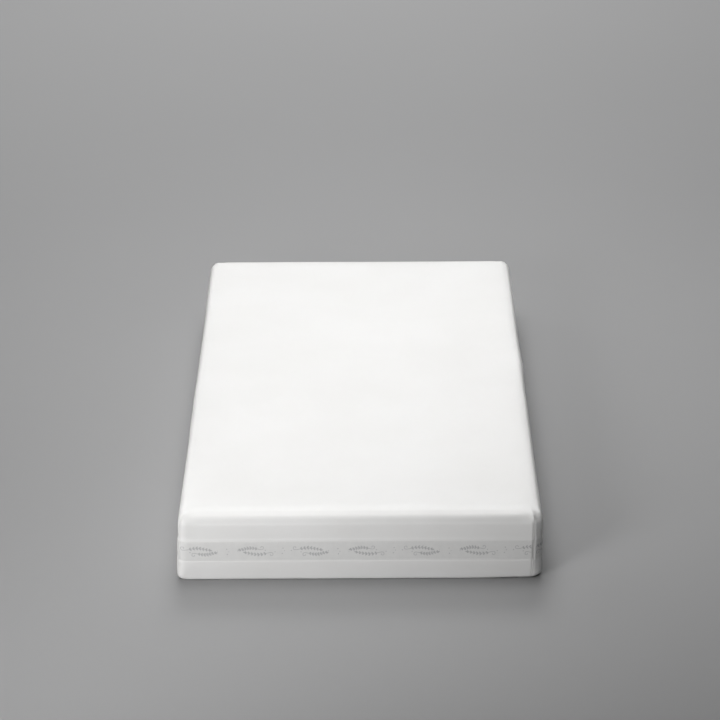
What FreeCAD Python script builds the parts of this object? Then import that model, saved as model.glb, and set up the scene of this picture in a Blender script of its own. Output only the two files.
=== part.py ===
"""Memory foam cot mattress with a zipped, ribbon-trimmed fabric cover.

Millimetres, +Z up. The origin is the middle of the underside, +X runs across the mattress and +Y
along it, from the front end towards the zipped rear end.

From the inside out: a firm support foam with a bonded memory foam layer, a knitted fire barrier sock
round both, and a smooth cover whose top and walls are one cloth, closed at each upright corner by a
seam. A base panel closes the cover from below, and a coil zip in the rear wall opens it.
"""

import FreeCAD
import Part

import math
import os

from FreeCAD import Vector

# ---- overall size ----
WIDTH = 695.0
LENGTH = 1315.0
HEIGHT = 140.0
TOP_EDGE_R = 21.0  # rounding from the sleeping surface into the walls
BASE_EDGE_R = 9.0
CORNER_R = 22.0  # plan radius of the upright corners

# ---- cloth ----
COVER_T = 1.2
SOCK_T = 1.0
SOCK_GAP = 1.0  # between the cover and the sock
FOAM_GAP = 0.3  # between the sock and the foam
BASE_LIP = 15.0  # how far the walls turn in under the mattress
BASE_CLEAR = 0.2  # between the turned-in lip and the base panel
BINDING_W = 10.0
BINDING_T = 0.9
BINDING_ROOM = 1.8  # height kept free between base panel and sock, for the binding and the sock seams

# ---- foam ----
MEMORY_FOAM_T = 36.0

# ---- sock seams ----
SOCK_END_DEPTH = 26.0  # the sock's end pieces reach this far round the sides
SOCK_SEAM_W = 5.0
SOCK_SEAM_T = 0.7

# ---- ribbon and corner seams ----
RIBBON_LOW = 44.0
RIBBON_HIGH = 84.0
RIBBON_T = 0.6
SEAM_R = 0.9  # radius of the corner seams' rolled edge
SEAM_SLOT = 2.4  # gap between two ribbon ends, where a corner seam passes
SEAM_START = 9.0
SEAM_TOP_DEG = 55.0  # how far the corner seam follows the top rounding

# ---- zip in the rear wall ----
ZIP_Z = 24.0  # height of the zip's centre line
ZIP_HALF = 280.0  # half length of the coils
SLIT_HALF = 290.0
SLIT_HALF_H = 6.0
TAPE_HALF = 300.0
TAPE_W = 13.0
TAPE_T = 0.6
COIL_INNER = 0.8  # the coils' inner edges, from the centre line
COIL_OUTER = 3.0
COIL_T = 2.4
COIL_ROUND = 0.7
STOP_L = 3.0
STOP_GAP = 1.0
STOP_OUTER = 3.2
STOP_T = 2.6
PATCH_L = 26.0
PATCH_H = 22.0
PATCH_T = 0.8
PATCH_GAP = 1.0  # between a stop and the patch beside it
PATCH_ROUND = 3.0

# ---- slider and pull tab ----
SLIDER_L = 11.0
SLIDER_TAIL_HALF = 4.3
SLIDER_NOSE_HALF = 5.2
SLIDER_PLATE_T = 1.1
SLIDER_CLEAR = 0.35
CHANNEL_HALF = 3.3
POST_L = 2.5
POST_HALF = 0.5
SLIDER_END_GAP = 1.5  # between the slider's nose and the coils' end when closed
BRIDGE_L = 7.2
BRIDGE_H = 3.4
BRIDGE_HALF = 1.0
BRIDGE_BAR = 1.1
BRIDGE_ROUND = 1.5
PULL_AXIS_H = 1.15  # pull tab's axis above the slider's top plate
PULL_BAR_R = 0.75
PULL_T = 1.4
PULL_ARM_IN = 1.5
PULL_ARM_OUT = 2.9
PULL_EYE = 6.0
PULL_L = 24.0
PULL_HALF_W = 3.6
PULL_RECESS = 0.35
PULL_RIM = 1.3

# ---- care label ----
LABEL_W = 36.0
LABEL_H = 34.0
LABEL_T = 0.5
LABEL_Y = 560.0

HALF_W = WIDTH / 2
HALF_L = LENGTH / 2
REAR_IN = HALF_L - COVER_T  # inner face of the rear wall, where the zip tapes lie
COIL_TOP = REAR_IN + COIL_T
PLATE_IN = COIL_TOP + SLIDER_CLEAR
PLATE_OUT = PLATE_IN + SLIDER_PLATE_T
UNDER_TOP = REAR_IN - TAPE_T - SLIDER_CLEAR  # slider plate behind the tapes
UNDER_LOW = UNDER_TOP - SLIDER_PLATE_T
SLIDER_X = ZIP_HALF - SLIDER_END_GAP - SLIDER_L / 2
PULL_AXIS_Y = PLATE_OUT + PULL_AXIS_H
SOCK_REAR = UNDER_LOW - SLIDER_CLEAR


def box(x0, x1, y0, y1, z0, z1):
    return Part.makeBox(x1 - x0, y1 - y0, z1 - z0, Vector(x0, y0, z0))


def edges_where(shape, test):
    return [e for e in shape.Edges if all(test(v.Point) for v in e.Vertexes)]


def upright_edges(shape):
    found = []
    for e in shape.Edges:
        a, b = e.Vertexes[0].Point, e.Vertexes[-1].Point
        if abs(a.x - b.x) < 1e-6 and abs(a.y - b.y) < 1e-6:
            found.append(e)
    return found


def rounded_block(x0, x1, y0, y1, z0, z1, corner_r, top_r=0.0, base_r=0.0):
    """A block with rounded upright corners and, if asked, rounded top and bottom edges."""
    block = box(x0, x1, y0, y1, z0, z1)
    block = block.makeFillet(corner_r, upright_edges(block))
    if top_r:
        block = block.makeFillet(top_r, edges_where(block, lambda p: abs(p.z - z1) < 1e-6))
    if base_r:
        block = block.makeFillet(base_r, edges_where(block, lambda p: abs(p.z - z0) < 1e-6))
    return block


def centred_block(inset, z0, z1, corner_r, top_r=0.0, base_r=0.0):
    """A rounded block that lies the same distance inside the cover's outline on all four sides."""
    return rounded_block(
        inset - HALF_W, HALF_W - inset, inset - HALF_L, HALF_L - inset, z0, z1, corner_r, top_r, base_r
    )


def cover_body():
    return centred_block(0, 0, HEIGHT, CORNER_R, TOP_EDGE_R, BASE_EDGE_R)


def cover():
    """Sleeping surface, four walls and the lip under the mattress, one cloth with a slit for the zip."""
    inner = centred_block(
        COVER_T, COVER_T, HEIGHT - COVER_T, CORNER_R - COVER_T, TOP_EDGE_R - COVER_T, BASE_EDGE_R - COVER_T
    )
    opening = centred_block(BASE_LIP, -1, COVER_T + 1, CORNER_R - BASE_LIP)
    slit = box(-SLIT_HALF, SLIT_HALF, REAR_IN - 1, HALF_L + 1, ZIP_Z - SLIT_HALF_H, ZIP_Z + SLIT_HALF_H)
    return cover_body().cut(inner).cut(opening).cut(slit)


def base_panel():
    inset = BASE_LIP + BASE_CLEAR
    return centred_block(inset, 0, COVER_T, CORNER_R - inset)


def base_seam_binding():
    """The bound seam allowance on top of the joint between the lip and the base panel."""
    outer_inset = BASE_LIP - BINDING_W / 2
    inner_inset = BASE_LIP + BINDING_W / 2
    low, high = COVER_T, COVER_T + BINDING_T
    outer = centred_block(outer_inset, low, high, CORNER_R - outer_inset)
    inner = centred_block(inner_inset, low - 1, high + 1, CORNER_R - inner_inset)
    return outer.cut(inner)


def inside_block(extra):
    """The sock's outer shape, or that shape made smaller by extra on every face."""
    side = COVER_T + SOCK_GAP + extra
    return rounded_block(
        side - HALF_W,
        HALF_W - side,
        side - HALF_L,
        SOCK_REAR - extra,
        COVER_T + BINDING_ROOM + extra,
        HEIGHT - side,
        CORNER_R - side,
        TOP_EDGE_R - side,
        BASE_EDGE_R - side,
    )


def sock_zone(name):
    """The stretch of the mattress that each of the sock's three pieces covers."""
    front_joint = COVER_T + SOCK_GAP - HALF_L + SOCK_END_DEPTH
    rear_joint = SOCK_REAR - SOCK_END_DEPTH
    spans = {"front": (-HALF_L, front_joint), "tube": (front_joint, rear_joint), "rear": (rear_joint, HALF_L)}
    y0, y1 = spans[name]
    return box(-HALF_W, HALF_W, y0, y1, 0, HEIGHT)


def sock_piece(name):
    return inside_block(0).cut(inside_block(SOCK_T)).common(sock_zone(name))


def sock_seam(end):
    """The overlocked ring that joins an end piece of the sock to the tube."""
    front_joint = COVER_T + SOCK_GAP - HALF_L + SOCK_END_DEPTH
    joint = front_joint if end == "front" else SOCK_REAR - SOCK_END_DEPTH
    half = SOCK_SEAM_W / 2
    zone = box(-HALF_W, HALF_W, joint - half, joint + half, 0, HEIGHT)
    return inside_block(-SOCK_SEAM_T).cut(inside_block(0)).common(zone)


def foam_split():
    return HEIGHT - COVER_T - SOCK_GAP - SOCK_T - FOAM_GAP - MEMORY_FOAM_T


def foam_layer(z0, z1):
    return inside_block(SOCK_T + FOAM_GAP).common(box(-HALF_W, HALF_W, -HALF_L, HALF_L, z0, z1))


def corner_signs():
    return {"front_left": (-1, -1), "front_right": (1, -1), "rear_left": (-1, 1), "rear_right": (1, 1)}


def corner_point(sx, sy, out, z):
    """A point on an upright corner's diagonal, out millimetres from the corner's own centre."""
    diagonal = out / math.sqrt(2)
    return Vector(sx * (HALF_W - CORNER_R + diagonal), sy * (HALF_L - CORNER_R + diagonal), z)


def corner_seam(sx, sy):
    """A rolled seam up the corner and over the top rounding, lying on the outside of the cover."""

    def on_rounding(degrees):
        turn = math.radians(degrees)
        out = CORNER_R - TOP_EDGE_R * (1 - math.cos(turn))
        return corner_point(sx, sy, out, HEIGHT - TOP_EDGE_R * (1 - math.sin(turn)))

    foot = corner_point(sx, sy, CORNER_R, SEAM_START)
    path = Part.Wire(
        [
            Part.LineSegment(foot, on_rounding(0)).toShape(),
            Part.Arc(on_rounding(0), on_rounding(SEAM_TOP_DEG / 2), on_rounding(SEAM_TOP_DEG)).toShape(),
        ]
    )
    section = Part.Wire(Part.makeCircle(SEAM_R, foot, Vector(0, 0, 1)))
    return path.makePipeShell([section], True, True).cut(cover_body())


def ribbons():
    """Four lengths of ribbon round the walls, cut short at each corner seam."""
    ring = centred_block(-RIBBON_T, RIBBON_LOW, RIBBON_HIGH, CORNER_R + RIBBON_T)
    ring = ring.cut(centred_block(0, RIBBON_LOW - 1, RIBBON_HIGH + 1, CORNER_R))
    for sx, sy in corner_signs().values():
        slot = box(0, CORNER_R + 5, -SEAM_SLOT / 2, SEAM_SLOT / 2, RIBBON_LOW - 1, RIBBON_HIGH + 1)
        slot.rotate(Vector(0, 0, 0), Vector(0, 0, 1), math.degrees(math.atan2(sy, sx)))
        slot.translate(corner_point(sx, sy, 0, 0))
        ring = ring.cut(slot)
    named = {}
    for solid in ring.Solids:
        c = solid.CenterOfMass
        if abs(c.x) > abs(c.y):
            named["ribbon_right" if c.x > 0 else "ribbon_left"] = solid
        else:
            named["ribbon_rear" if c.y > 0 else "ribbon_front"] = solid
    return named


def zip_tape(side):
    """A woven tape behind the rear wall; side is 1 above the zip's centre line and -1 below it."""
    z0, z1 = sorted((ZIP_Z + side * COIL_INNER, ZIP_Z + side * (COIL_INNER + TAPE_W)))
    return box(-TAPE_HALF, TAPE_HALF, REAR_IN - TAPE_T, REAR_IN, z0, z1)


def zip_coil(side):
    z0, z1 = sorted((ZIP_Z + side * COIL_INNER, ZIP_Z + side * COIL_OUTER))
    coil = box(-ZIP_HALF, ZIP_HALF, REAR_IN, COIL_TOP, z0, z1)
    return coil.makeFillet(COIL_ROUND, edges_where(coil, lambda p: abs(p.y - COIL_TOP) < 1e-6))


def zip_end_stops():
    """The two stops that keep the closed slider on the coils, one on each tape."""
    start = ZIP_HALF + STOP_GAP
    low = box(
        start, start + STOP_L, REAR_IN, REAR_IN + STOP_T, ZIP_Z - STOP_OUTER, ZIP_Z - COIL_INNER
    )
    high = box(
        start, start + STOP_L, REAR_IN, REAR_IN + STOP_T, ZIP_Z + COIL_INNER, ZIP_Z + STOP_OUTER
    )
    return Part.makeCompound([low, high])


def zip_bottom_stop():
    end = -ZIP_HALF - STOP_GAP
    return box(end - STOP_L, end, REAR_IN, REAR_IN + STOP_T, ZIP_Z - STOP_OUTER, ZIP_Z + STOP_OUTER)


def zip_end_patch(side):
    """A small stitched patch on the wall, over one end of the slit."""
    near = side * (ZIP_HALF + STOP_GAP + STOP_L + PATCH_GAP)
    x0, x1 = sorted((near, near + side * PATCH_L))
    patch = box(x0, x1, HALF_L, HALF_L + PATCH_T, ZIP_Z - PATCH_H / 2, ZIP_Z + PATCH_H / 2)
    across = [e for e in patch.Edges if abs(e.Vertexes[0].Y - e.Vertexes[-1].Y) > PATCH_T / 2]
    return patch.makeFillet(PATCH_ROUND, across)


def slider_plate(y0, y1):
    """The slider's plan, wide at the nose (+X) and narrow at the tail, between two depths."""
    tail, nose = SLIDER_X - SLIDER_L / 2, SLIDER_X + SLIDER_L / 2
    outline = [
        Vector(tail, y0, ZIP_Z - SLIDER_TAIL_HALF),
        Vector(nose, y0, ZIP_Z - SLIDER_NOSE_HALF),
        Vector(nose, y0, ZIP_Z + SLIDER_NOSE_HALF),
        Vector(tail, y0, ZIP_Z + SLIDER_TAIL_HALF),
    ]
    face = Part.Face(Part.makePolygon(outline + outline[:1]))
    plate = face.extrude(Vector(0, y1 - y0, 0))
    across = [e for e in plate.Edges if abs(e.Vertexes[0].Y - e.Vertexes[-1].Y) > (y1 - y0) / 2]
    return plate.makeFillet(1.2, across)


def zip_slider():
    """Top plate with side flanges, the plate behind the tapes, the post between them and the bridge."""
    upper = slider_plate(REAR_IN + SLIDER_CLEAR, PLATE_OUT)
    channel = box(
        SLIDER_X - SLIDER_L,
        SLIDER_X + SLIDER_L,
        REAR_IN,
        PLATE_IN,
        ZIP_Z - CHANNEL_HALF,
        ZIP_Z + CHANNEL_HALF,
    )
    upper = upper.cut(channel)
    under = slider_plate(UNDER_LOW, UNDER_TOP)
    nose = SLIDER_X + SLIDER_L / 2
    post = box(nose - POST_L, nose - 0.4, UNDER_LOW, PLATE_OUT, ZIP_Z - POST_HALF, ZIP_Z + POST_HALF)
    half = BRIDGE_L / 2
    bridge = box(
        SLIDER_X - half,
        SLIDER_X + half,
        PLATE_OUT - 0.2,
        PLATE_OUT + BRIDGE_H,
        ZIP_Z - BRIDGE_HALF,
        ZIP_Z + BRIDGE_HALF,
    )
    shoulders = edges_where(bridge, lambda p: p.y > PLATE_OUT + 1)
    shoulders = [e for e in shoulders if abs(e.Vertexes[0].Z - e.Vertexes[-1].Z) > BRIDGE_HALF]
    bridge = bridge.makeFillet(BRIDGE_ROUND, shoulders)
    eye = box(
        SLIDER_X - half + BRIDGE_BAR,
        SLIDER_X + half - BRIDGE_BAR,
        PLATE_OUT,
        PLATE_OUT + BRIDGE_H - BRIDGE_BAR,
        ZIP_Z - SLIDER_L,
        ZIP_Z + SLIDER_L,
    )
    return upper.fuse([under, post, bridge.cut(eye)]).removeSplitter()


def zip_pull_tab():
    """A flat tab on a cross bar under the slider's bridge, lying along the closed coils."""
    bar = Part.makeCylinder(
        PULL_BAR_R, 2 * PULL_ARM_OUT, Vector(SLIDER_X, PULL_AXIS_Y, ZIP_Z - PULL_ARM_OUT), Vector(0, 0, 1)
    )
    low, high = PULL_AXIS_Y - PULL_T / 2, PULL_AXIS_Y + PULL_T / 2
    arms = [
        box(SLIDER_X - PULL_EYE - 0.5, SLIDER_X, low, high, ZIP_Z - PULL_ARM_OUT, ZIP_Z - PULL_ARM_IN),
        box(SLIDER_X - PULL_EYE - 0.5, SLIDER_X, low, high, ZIP_Z + PULL_ARM_IN, ZIP_Z + PULL_ARM_OUT),
    ]
    grip = box(
        SLIDER_X - PULL_L, SLIDER_X - PULL_EYE, low, high, ZIP_Z - PULL_HALF_W, ZIP_Z + PULL_HALF_W
    )
    across = [e for e in grip.Edges if abs(e.Vertexes[0].Y - e.Vertexes[-1].Y) > PULL_T / 2]
    grip = grip.makeFillet(1.6, across)
    recess = box(
        SLIDER_X - PULL_L + PULL_RIM,
        SLIDER_X - PULL_EYE - PULL_RIM,
        high - PULL_RECESS,
        high + 1,
        ZIP_Z - PULL_HALF_W + PULL_RIM,
        ZIP_Z + PULL_HALF_W - PULL_RIM,
    )
    return bar.fuse([*arms, grip]).cut(recess).removeSplitter()


def care_label():
    """A small blank fabric label that hangs from the ribbon's lower edge on the left wall."""
    return box(
        -HALF_W - LABEL_T, -HALF_W, LABEL_Y - LABEL_W / 2, LABEL_Y + LABEL_W / 2, RIBBON_LOW - LABEL_H, RIBBON_LOW
    )


def build():
    parts = {
        "support_foam": foam_layer(0, foam_split()),
        "memory_foam": foam_layer(foam_split(), HEIGHT),
        "fire_sock_tube": sock_piece("tube"),
        "fire_sock_front_end": sock_piece("front"),
        "fire_sock_rear_end": sock_piece("rear"),
        "fire_sock_front_seam": sock_seam("front"),
        "fire_sock_rear_seam": sock_seam("rear"),
        "cover": cover(),
        "base_panel": base_panel(),
        "base_seam_binding": base_seam_binding(),
        "zip_tape_upper": zip_tape(1),
        "zip_tape_lower": zip_tape(-1),
        "zip_coil_upper": zip_coil(1),
        "zip_coil_lower": zip_coil(-1),
        "zip_end_stops": zip_end_stops(),
        "zip_bottom_stop": zip_bottom_stop(),
        "zip_patch_closed_end": zip_end_patch(1),
        "zip_patch_open_end": zip_end_patch(-1),
        "zip_slider": zip_slider(),
        "zip_pull_tab": zip_pull_tab(),
        "care_label": care_label(),
    }
    for corner, (sx, sy) in corner_signs().items():
        parts["corner_seam_" + corner] = corner_seam(sx, sy)
    parts.update(ribbons())
    return parts


os.makedirs("parts", exist_ok=True)
for name, shape in build().items():
    if not shape.isValid() or not shape.Solids:
        raise ValueError(name + " isn't a valid solid")
    shape.exportStep(os.path.join("parts", name + ".step"))
    print(name, len(shape.Solids), "solid(s)", round(shape.Volume / 1000, 2), "cm3")
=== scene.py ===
"""Looks of the memory foam cot mattress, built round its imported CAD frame.

Lengths in this file are millimetres unless a name says otherwise, and turn into metres where a mesh is
made. Every soft piece is first laid out on the ideal cover, a box with rounded edges, and soften() then
moves all of them together, so that ribbon, seams and layers stay on each other.
"""

import json
import math

import bpy
import numpy as np
from mathutils import Matrix, Vector


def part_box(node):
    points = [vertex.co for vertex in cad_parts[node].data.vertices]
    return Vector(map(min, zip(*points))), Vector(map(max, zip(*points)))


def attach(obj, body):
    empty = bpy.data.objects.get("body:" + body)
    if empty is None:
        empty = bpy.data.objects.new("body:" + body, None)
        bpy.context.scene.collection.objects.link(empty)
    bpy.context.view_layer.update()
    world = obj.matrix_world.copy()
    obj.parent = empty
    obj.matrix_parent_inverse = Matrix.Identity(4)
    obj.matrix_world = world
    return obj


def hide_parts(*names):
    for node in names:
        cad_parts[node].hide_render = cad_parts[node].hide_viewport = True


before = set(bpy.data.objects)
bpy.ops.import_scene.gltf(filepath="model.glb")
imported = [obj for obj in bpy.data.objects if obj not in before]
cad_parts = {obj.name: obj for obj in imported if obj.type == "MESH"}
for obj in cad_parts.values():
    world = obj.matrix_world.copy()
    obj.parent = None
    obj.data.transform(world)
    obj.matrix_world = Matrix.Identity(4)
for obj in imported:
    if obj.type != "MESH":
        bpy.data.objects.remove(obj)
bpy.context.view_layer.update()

M = 0.001  # metres in a millimetre


def node_box(node):
    low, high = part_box(node)
    return np.array(low) / M, np.array(high) / M


# ---- sizes: the outline comes from the frame, the roundings are the design's ----
HALF_W, HALF_L, HEIGHT = node_box("cover")[1]
RIBBON_LOW, RIBBON_HIGH = (corner[2] for corner in node_box("ribbon_front"))
TOP_R = 21.0
BASE_R = 9.0
CORNER_R = 22.0
COVER_T = 1.2
BASE_LIP = 15.0
CORE_X = HALF_W - CORNER_R  # where the straight walls end
CORE_Y = HALF_L - CORNER_R
CORNER_ARC = CORNER_R * math.pi / 2
SLIT_HALF = 290.0
SLIT_HALF_H = 6.0
ZIP_LOW = node_box("zip_coil_lower")[0]
ZIP_HIGH = node_box("zip_coil_upper")[1]
ZIP_Z = (ZIP_LOW[2] + ZIP_HIGH[2]) / 2


# ---- small maths ----
def smooth(x, low, high):
    """0 below low, 1 above high and a smooth ramp between them; low may be the larger one."""
    t = np.clip((np.asarray(x, float) - low) / (high - low), 0, 1)
    return t * t * (3 - 2 * t)


def bump(x, width):
    return np.exp(-((np.asarray(x, float) / width) ** 2))


def lumps(points, size, seed):
    """A smooth random field from -1 to 1, with lumps about size millimetres across."""
    table = np.random.default_rng(seed).uniform(-1, 1, (64, 64, 64))
    q = np.asarray(points, float) / size + 31.7
    cell = np.floor(q).astype(int)
    t = q - cell
    t = t * t * t * (t * (t * 6 - 15) + 10)
    total = np.zeros(len(q))
    for dx in (0, 1):
        for dy in (0, 1):
            for dz in (0, 1):
                i, j, k = ((cell + (dx, dy, dz)) % 64).T
                weight = np.ones(len(q))
                for axis, d in enumerate((dx, dy, dz)):
                    weight *= t[:, axis] if d else 1 - t[:, axis]
                total += weight * table[i, j, k]
    return total


# ---- the soft shape ----
SEAM_TURN = {(1, -1): 30.0}  # degrees that a corner's seam lies nearer the end wall than the diagonal
FLOOR_GAP = 0.3
LEAN = 2.9


def whereabouts(points):
    """Where points lie on the ideal cover: outward normal, share of wall in it, distance along the
    surface past the nearest corner's seam, and distance in from the edge of the outline."""
    p = np.asarray(points, float)
    core = np.stack([np.clip(p[:, 0], -CORE_X, CORE_X), np.clip(p[:, 1], -CORE_Y, CORE_Y)], 1)
    off = p[:, :2] - core
    reach = np.linalg.norm(off, axis=1)
    plan = off / np.maximum(reach, 1e-6)[:, None]
    above = np.maximum(p[:, 2] - (HEIGHT - TOP_R), 0)
    below = np.maximum(BASE_R - p[:, 2], 0)
    side = np.where(above > 0, np.maximum(reach - (CORNER_R - TOP_R), 0), reach)
    side = np.where(below > 0, np.maximum(reach - (CORNER_R - BASE_R), 0), side)
    normal = np.concatenate([plan * side[:, None], (above - below)[:, None]], 1)
    length = np.linalg.norm(normal, axis=1)
    normal /= np.maximum(length, 1e-6)[:, None]
    wall = np.linalg.norm(normal[:, :2], axis=1)
    seam = np.full(len(p), math.pi / 4)
    for (sx, sy), degrees in SEAM_TURN.items():
        seam[(p[:, 0] * sx > 0) & (p[:, 1] * sy > 0)] += math.radians(degrees)
    turn = np.arctan2(np.abs(off[:, 1]), np.abs(off[:, 0])) - seam
    beyond = (CORE_X - np.abs(core[:, 0])) + (CORE_Y - np.abs(core[:, 1]))
    past = np.minimum(reach, CORNER_R) * np.where(reach > 1e-6, turn, 0) + np.sign(turn) * beyond
    inset = np.minimum(HALF_W - np.abs(p[:, 0]), HALF_L - np.abs(p[:, 1]))
    return normal, wall, past, inset


def ledges(z):
    """The walls stand a little further out below each edge of the ribbon."""
    upper = 0.9 * smooth(z, RIBBON_HIGH + 7, RIBBON_HIGH + 1)
    lower = 0.9 * smooth(z, RIBBON_LOW + 0.5, RIBBON_LOW - 2.5)
    return upper + lower + 0.008 * np.maximum(RIBBON_LOW - z, 0)


def wall_shape(p, wall, end_wall):
    """How far out the walls stand: the end walls swell, and tuck in towards the floor."""
    x, y, z = p.T
    swell = 3.4 * np.clip(1 - ((z - 60) / 66) ** 2, -0.2, 1) * end_wall
    swell -= 1.8 * smooth(z, 44, 6) * end_wall
    out = wall * (0.8 * lumps(p, 210, 1) + 0.3 * lumps(p, 80, 2) + ledges(z) + swell)
    out -= wall * (1 - end_wall) * (0.2 + 1.7 * smooth(z, 114, 88))
    right_bulge = bump(x - HALF_W, 30) * bump(y - 70, 60) * bump(z - 105, 40)
    return out + wall * 2.4 * right_bulge


def top_edge_shape(p, normal, wall, end_wall, past):
    """The rounded edge of the top is fuller than the foam's own, above a slight hollow."""
    z = p[:, 2]
    tilt = np.degrees(np.arctan2(np.maximum(normal[:, 2], 0), wall))
    hollow = 0.3 * bump(tilt - 15, 14) + 1.1 * smooth(z, 92, 124) * wall
    edge = 2.3 * bump(tilt - 50, 19) - hollow * end_wall
    return edge * smooth(np.abs(past), 6, 30) * (z > 90)


def corner_shape(p, normal, wall, past):
    """The corners are tighter than the foam's own rounding, and their seams lie in a shallow groove;
    the front right one is flat between its seam and its edge."""
    x, y, z = p.T
    upright = smooth(z, 1, 9)
    seam_end = smooth(HEIGHT - z, 0.5, 4)
    turned = (x > 0) & (y < 0)
    plan_turn = 2 * np.abs(normal[:, 0] * normal[:, 1]) / np.maximum(wall, 1e-6) ** 2
    sharper = smooth(z, 40, 8) * (y < 0)  # towards the floor
    tight = (2.8 * (y < 0) + 2.2 * sharper) * plan_turn ** 2
    flat = 2.4 * bump(past + 20.4, 7.5) - 0.4 * bump(past + 7, 5) + 3 * sharper * plan_turn ** 2
    groove = -0.8 * bump(past, 1.8) + 0.2 * bump(np.abs(past) - 4.5, 2.4)
    out = (np.where(turned, flat, tight) + groove * np.where(turned, 1, 0.6)) * upright * seam_end * wall
    return out + np.where(turned, 1.7, 0.9) * bump(past, 3.5) * bump(z - (HEIGHT - 6), 6)


def soften(points):
    """Moves points on or just inside the ideal cover to where the soft mattress has them."""
    p = np.asarray(points, float)
    normal, wall, past, inset = whereabouts(p)
    x, y, z = p.T
    end_wall = np.abs(normal[:, 1]) / np.maximum(wall, 1e-6)
    top = (1 - wall) * smooth(z, 50, 100)

    out = wall_shape(p, wall, end_wall)
    out += top * (0.7 * lumps(p, 260, 3) + 0.18 * lumps(p, 95, 4))
    out += top_edge_shape(p, normal, wall, end_wall, past)
    out += corner_shape(p, normal, wall, past)
    out += 1.9 * (2 * wall * np.maximum(-normal[:, 2], 0)) ** 2  # a crisp lower edge

    # the top rolls gently down before its edges, most of all at the front
    rolled = 1.4 * smooth(inset, 50, 8) ** 2 + 3.8 * smooth(y + HALF_L, 44, 4) ** 1.3
    drop = -rolled * smooth(z, HEIGHT - 40, HEIGHT - 10)

    # the underside lifts off the floor towards the front right corner
    lift = 2.4 * smooth(x, 190, 330) * bump(y + HALF_L, 34) * smooth(z, 26, 2)

    # the wall stays true round the zip, and the walls lean to the left as they come down
    beside_zip = smooth(y, HALF_L - 60, HALF_L - 20) * smooth(np.abs(x), 335, 312)
    zip_zone = beside_zip * smooth(z, 44, 34)
    moved = p + normal * (out * (1 - zip_zone))[:, None]
    moved[:, 2] += drop + lift
    moved[:, 2] = np.maximum(moved[:, 2], np.minimum(z, FLOOR_GAP)) + 0.35 * smooth(z, 8, 0)
    moved[:, 0] -= LEAN * smooth(z, HEIGHT, 0)
    return moved


# ---- places round the walls ----
def around(s):
    """Core point and outward direction at s millimetres along the outline, anticlockwise from the
    front wall's left end."""
    s = np.asarray(s, float)
    runs = [2 * CORE_X, CORNER_ARC, 2 * CORE_Y, CORNER_ARC] * 2
    ends = np.cumsum([0] + runs)
    s = np.mod(s, ends[-1])
    core, direction = np.zeros((len(s), 2)), np.zeros((len(s), 2))
    corners = [(-CORE_X, -CORE_Y), (CORE_X, -CORE_Y), (CORE_X, CORE_Y), (-CORE_X, CORE_Y)]
    for k in range(8):
        here = (s >= ends[k]) & (s <= ends[k + 1])
        t = s[here] - ends[k]
        start, heading = np.array(corners[k // 2 % 4]), -math.pi / 2 + (k // 2) * math.pi / 2
        if k % 2 == 0:
            along = np.array([-math.sin(heading), math.cos(heading)])
            core[here] = start + t[:, None] * along
            direction[here] = (math.cos(heading), math.sin(heading))
        else:
            turned = heading + t / CORNER_R
            core[here] = corners[(k // 2 + 1) % 4]
            direction[here] = np.stack([np.cos(turned), np.sin(turned)], 1)
    return core, direction


def wall_length():
    return 4 * (CORE_X + CORE_Y + CORNER_ARC / 2) + 2 * CORNER_ARC


def level(direction):
    """Directions in plan as level directions in space."""
    return np.concatenate([direction, np.zeros((len(direction), 1))], 1)


def on_wall(s, z, out=0.0):
    """Points out millimetres off the softened wall, at s along the outline and height z."""
    s, z, out = np.broadcast_arrays(np.asarray(s, float), np.asarray(z, float), np.asarray(out, float))
    core, direction = around(s)
    flat = core + direction * CORNER_R
    points = np.concatenate([flat, z[:, None]], 1)
    moved = soften(points)
    return moved + level(direction) * out[:, None]


SIDE_START = {
    "front": 0.0,
    "right": 2 * CORE_X + CORNER_ARC,
    "rear": 2 * CORE_X + 2 * CORNER_ARC + 2 * CORE_Y,
    "left": 4 * CORE_X + 3 * CORNER_ARC + 2 * CORE_Y,
}


def side_span(side):
    """From corner seam to corner seam, along the outline."""
    run = 2 * (CORE_X if side in ("front", "rear") else CORE_Y)
    start = SIDE_START[side] - CORNER_ARC / 2
    end = SIDE_START[side] + run + CORNER_ARC / 2
    shift = CORNER_R * math.radians(SEAM_TURN[(1, -1)])
    return start - (shift if side == "right" else 0), end - (shift if side == "front" else 0)


# ---- making pieces ----
MATS = {}  # every material by its name


def new_piece(name, points, faces, finish, body="mattress", slot=None):
    """A piece with the material called finish. Its slot argument is not used."""
    mesh = bpy.data.meshes.new(name)
    mesh.from_pydata([tuple(p) for p in np.asarray(points, float) * M], [], [tuple(f) for f in faces])
    mesh.validate()
    mesh.materials.append(MATS[finish])
    mesh.shade_smooth()
    piece = bpy.data.objects.new(name, mesh)
    bpy.context.scene.collection.objects.link(piece)
    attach(piece, body)
    return piece


def thicken(piece, thickness, offset=-1.0):
    solid = piece.modifiers.new("thickness", "SOLIDIFY")
    solid.thickness = thickness * M
    solid.offset = offset
    solid.use_even_offset = False


def soften_edges(piece, width, segments=2):
    bevel = piece.modifiers.new("edges", "BEVEL")
    bevel.width = width * M
    bevel.segments = segments
    bevel.limit_method = "ANGLE"
    bevel.angle_limit = math.radians(35)


def grid_faces(rows, columns, closed=False):
    """Quads of a grid whose vertex (row, column) has the index row * columns + column."""
    faces = []
    for r in range(rows - 1):
        for c in range(columns if closed else columns - 1):
            d = (c + 1) % columns
            faces.append((r * columns + c, r * columns + d, (r + 1) * columns + d, (r + 1) * columns + c))
    return faces


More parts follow.
